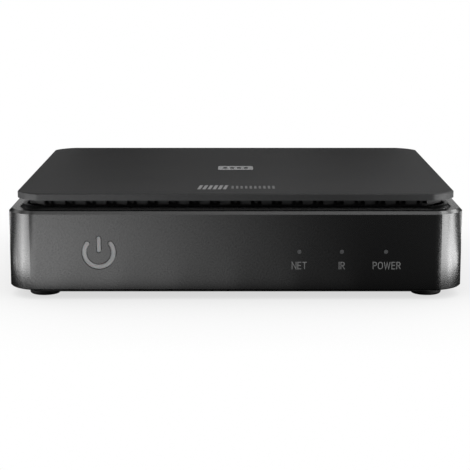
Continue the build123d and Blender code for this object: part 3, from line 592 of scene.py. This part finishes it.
# ---- stage: floor, lights, camera --------------------------------------------------------------
CAMERA_AT = (-0.0002, -0.5435, 0.1103)
CAMERA_PITCH = 79.54  # degrees from straight down
CAMERA_LENS = 114.9
FLOOR_RADIUS = 6.0
FLOOR_DROP = 0.00002  # keeps the floor clear of the feet
FLOOR_GREY, WORLD_GLOW = 0.04, 0.03  # what lights and reflections see; the camera sees white
SHADE_REACH, SHADE_DARKEST = 0.07, 0.66  # soft shade where the box stands close to the floor
FLOOR_LIFT = 0.0006  # of lights that lie on the floor
STRIP_MIDDLE = Vector((0, -0.02, 0))  # the strips stand round this spot
STRIP_DISTANCE = 0.30
STRIP_HEIGHT = 0.07
STRIP_FOOT = 0.18
FOOT_GAIN = 1.1
STRIPS = (  # name, azimuth in degrees (0 in front, right is positive), width, glow in W per m2
    ("left_front", -61, 0.035, 29),
    ("left", -70, 0.035, 26),
    ("left_side", -80, 0.035, 9),
    ("left_back", -120, 0.035, 8),
    ("right_front", 60, 0.05, 38),
    ("right", 76, 0.05, 38),
    ("right_back", 118, 0.035, 8),
)
CARD_COUNT = 11
CARD_WIDTH = 0.02
CARD_LENGTH = 0.23
CARD_NEAR = -0.080  # y of the cards' near ends, just in front of the box
CARD_LEFT, CARD_FADE = -0.11, 0.05  # x of the first card, and where the glow has died away
CARD_CURVE = 1.6
CARD_POWER = 0.090
CARD_LEAST = 0.011  # in parts of the first card's power


def make_camera():
    """A long lens in front of the box, a little above it."""
    data = bpy.data.cameras.new("camera")
    data.lens = CAMERA_LENS
    data.sensor_width = 36.0
    data.clip_start = 0.01
    camera = bpy.data.objects.new("camera", data)
    camera.location = CAMERA_AT
    camera.rotation_euler = (radians(CAMERA_PITCH), 0, 0)
    bpy.context.scene.collection.objects.link(camera)
    bpy.context.scene.camera = camera


def make_floor():
    """A wide pale floor that melts into a white background and can't be seen from below."""
    mesh = bpy.data.meshes.new("floor")
    shape = bmesh.new()
    bmesh.ops.create_circle(shape, cap_ends=True, radius=FLOOR_RADIUS, segments=96)
    shape.to_mesh(mesh)
    shape.free()
    floor = bpy.data.objects.new("floor", mesh)
    floor.location.z = -FLOOR_DROP
    bpy.context.scene.collection.objects.link(floor)
    s = Shader("floor")
    tree, nodes = s.tree, s.tree.nodes
    open_sky = nodes.new("ShaderNodeAmbientOcclusion")
    open_sky.inputs["Distance"].default_value = SHADE_REACH
    speckle = s.span(s.noise(900.0, 2.0), 0.995, 1.005)
    level = nodes.new("ShaderNodeMath")
    level.operation = "MULTIPLY"
    shade_level = s.span(open_sky.outputs["AO"], SHADE_DARKEST, 1.0, 0.0, 1.0)
    tree.links.new(shade_level, level.inputs[0])
    tree.links.new(speckle, level.inputs[1])
    pale = nodes.new("ShaderNodeEmission")
    tree.links.new(level.outputs[0], pale.inputs["Strength"])
    dim = nodes.new("ShaderNodeBsdfDiffuse")
    dim.inputs["Color"].default_value = (FLOOR_GREY, FLOOR_GREY, FLOOR_GREY, 1)
    path = nodes.new("ShaderNodeLightPath")
    seen = nodes.new("ShaderNodeMixShader")
    tree.links.new(path.outputs["Is Camera Ray"], seen.inputs["Fac"])
    tree.links.new(dim.outputs[0], seen.inputs[1])
    tree.links.new(pale.outputs[0], seen.inputs[2])
    facing = nodes.new("ShaderNodeNewGeometry")
    clear = nodes.new("ShaderNodeBsdfTransparent")
    sides = nodes.new("ShaderNodeMixShader")
    tree.links.new(facing.outputs["Backfacing"], sides.inputs["Fac"])
    tree.links.new(seen.outputs[0], sides.inputs[1])
    tree.links.new(clear.outputs[0], sides.inputs[2])
    tree.links.new(sides.outputs[0], nodes["Material Output"].inputs["Surface"])
    mesh.materials.append(s.material)


def make_world():
    """A white surround for the camera and a dim one for reflections."""
    world = bpy.data.worlds.new("studio")
    bpy.context.scene.world = world
    world.use_nodes = True
    tree = world.node_tree
    dim = tree.nodes["Background"]
    dim.inputs["Color"].default_value = (1, 1, 1, 1)
    dim.inputs["Strength"].default_value = WORLD_GLOW
    white = tree.nodes.new("ShaderNodeBackground")
    white.inputs["Color"].default_value = (1, 1, 1, 1)
    white.inputs["Strength"].default_value = 1.0
    path = tree.nodes.new("ShaderNodeLightPath")
    mix = tree.nodes.new("ShaderNodeMixShader")
    tree.links.new(path.outputs["Is Camera Ray"], mix.inputs["Fac"])
    tree.links.new(dim.outputs[0], mix.inputs[1])
    tree.links.new(white.outputs[0], mix.inputs[2])
    tree.links.new(mix.outputs[0], tree.nodes["World Output"].inputs["Surface"])


def make_light(name, at, aim, size, power, turn=0.0):
    """A rectangular soft light that points at a spot, turned about its own axis."""
    data = bpy.data.lights.new(name, "AREA")
    data.shape = "RECTANGLE"
    data.size, data.size_y = size
    data.energy = power
    light = bpy.data.objects.new(name, data)
    light.location = at
    facing = (Vector(aim) - Vector(at)).to_track_quat("-Z", "Y")
    light.rotation_euler = (facing @ Quaternion((0, 0, 1), turn)).to_euler()
    light.visible_camera = False
    bpy.context.scene.collection.objects.link(light)


def make_strip(name, azimuth, width, glow):
    """An upright strip beside the box, and its foot that runs along the floor towards the box."""
    bearing = radians(azimuth)
    out = Vector((sin(bearing), -cos(bearing), 0))
    at = STRIP_MIDDLE + out * STRIP_DISTANCE + Vector((0, 0, STRIP_HEIGHT / 2))
    make_light(name, at, STRIP_MIDDLE + Vector((0, 0, at.z)), (width, STRIP_HEIGHT),
               glow * width * STRIP_HEIGHT)
    foot = (STRIP_MIDDLE + out * (STRIP_DISTANCE - STRIP_FOOT / 2)
            + Vector((0, 0, FLOOR_LIFT)))
    make_light(name + "_foot", foot, foot + Vector((0, 0, 1)), (STRIP_FOOT, width),
               glow * width * STRIP_FOOT * FOOT_GAIN, turn=-pi / 2 - bearing)


def make_floor_cards():
    """Glowing cards low in front, brighter to the left: the glossy front mirrors them."""
    for step in range(CARD_COUNT):
        x = CARD_LEFT + CARD_WIDTH * step
        fade = max(0.0, (CARD_FADE - x) / (CARD_FADE - CARD_LEFT))
        at = (x, CARD_NEAR - CARD_LENGTH / 2, FLOOR_LIFT)
        make_light(f"card_{step}", at, (x, at[1], 1.0), (CARD_WIDTH, CARD_LENGTH),
                   CARD_POWER * (fade ** CARD_CURVE + CARD_LEAST))


LIGHTS = (  # name, place, spot that it points at, size and power in W
    ("above_front", (0, -0.073, 0.10), (0, -0.071, 0), (0.18, 0.02), 0.019),
    ("above_lid", (0.03, -0.14, 0.20), (0.02, -0.05, 0.035), (0.26, 0.04), 0.20),
    ("corner_left", (-0.206, 0.032, 0.147), (-0.072, -0.058, 0.029), (0.06, 0.06), 0.022),
    ("corner_right", (0.206, 0.032, 0.147), (0.072, -0.058, 0.029), (0.06, 0.06), 0.09),
    ("turn_left", (-0.151, -0.05, 0.165), (-0.068, -0.056, 0.029), (0.05, 0.05), 0.016),
    ("turn_right", (0.151, -0.05, 0.165), (0.068, -0.056, 0.029), (0.05, 0.05), 0.07),
    ("rim_left", (-0.108, 0.25, 0.068), (-0.074, 0, 0.03), (0.04, 0.05), 0.006),
    ("rim_right", (0.108, 0.25, 0.068), (0.074, 0, 0.03), (0.04, 0.05), 0.006),
    ("badge_sheen", (0, 0.30, 0.09), (0, 0, 0.035), (0.09, 0.04), 0.0065),
    ("back_high", (0, 0.60, 0.60), (0, 0, 0.03), (0.8, 0.3), 0.82),
    ("back_low", (0, 0.34, 0.017), (0, 0.06, 0.017), (0.2, 0.03), 0.5),
)


def make_lights():
    """Strips beside the box, cards in front of it and the single lights."""
    for strip in STRIPS:
        make_strip(*strip)
    make_floor_cards()
    for light in LIGHTS:
        make_light(*light)


# ---- build -------------------------------------------------------------------------------------
bpy.context.scene.view_settings.view_transform = "Standard"
make_camera()
make_floor()
make_world()
make_lights()
MATERIALS = make_materials()
dress_nodes(MATERIALS)

FRONT_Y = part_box("shell")[0][1]
LID_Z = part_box("top_cover")[1][2]
FRONT_FACE = Face((0, FRONT_Y, 0), (1, 0, 0), (0, 0, 1), (0, -1, 0))
LID_FACE = Face((0, 0, LID_Z), (1, 0, 0), (0, 1, 0), (0, 0, 1))
add_front_words(FRONT_FACE, ink("ink_front", 0.215))
# painted shadow: near-black lines along the power symbol's upper slot edges
add_key_painted_shadows(FRONT_FACE, ink("painted_shadow_ink", 0.004))
add_lid_print(LID_FACE, ink("ink_lid", 0.25), ink("ink_lid_faint", 0.13))
add_badge_bars(LID_FACE, ink("ink_badge", 0.03))

PANEL_FACE = Face((0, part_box("rear_panel")[1][1], 0), (-1, 0, 0), (0, 0, 1), (0, 1, 0))
PORT_FACE = Face((0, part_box("network_jack_shell")[1][1], 0), (-1, 0, 0), (0, 0, 1), (0, 1, 0))
LABEL_LOW, LABEL_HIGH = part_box("rating_label")
LABEL_FACE = Face((0, (LABEL_LOW[1] + LABEL_HIGH[1]) / 2, LABEL_LOW[2]),
                  (1, 0, 0), (0, 1, 0), (0, 0, -1))
add_port_signs(PANEL_FACE, ink("ink_rear", 0.42))
LAMPS = {"green": plastic("lamp_green", (0.03, 0.20, 0.05), 0.3, 1500.0, 2e-6),
         "amber": plastic("lamp_amber", (0.34, 0.14, 0.02), 0.3, 1500.0, 2e-6)}
add_port_details(PORT_FACE, LAMPS, MATERIALS["contact_gold"])
add_label_lines(LABEL_FACE, ink("ink_label", 0.06))
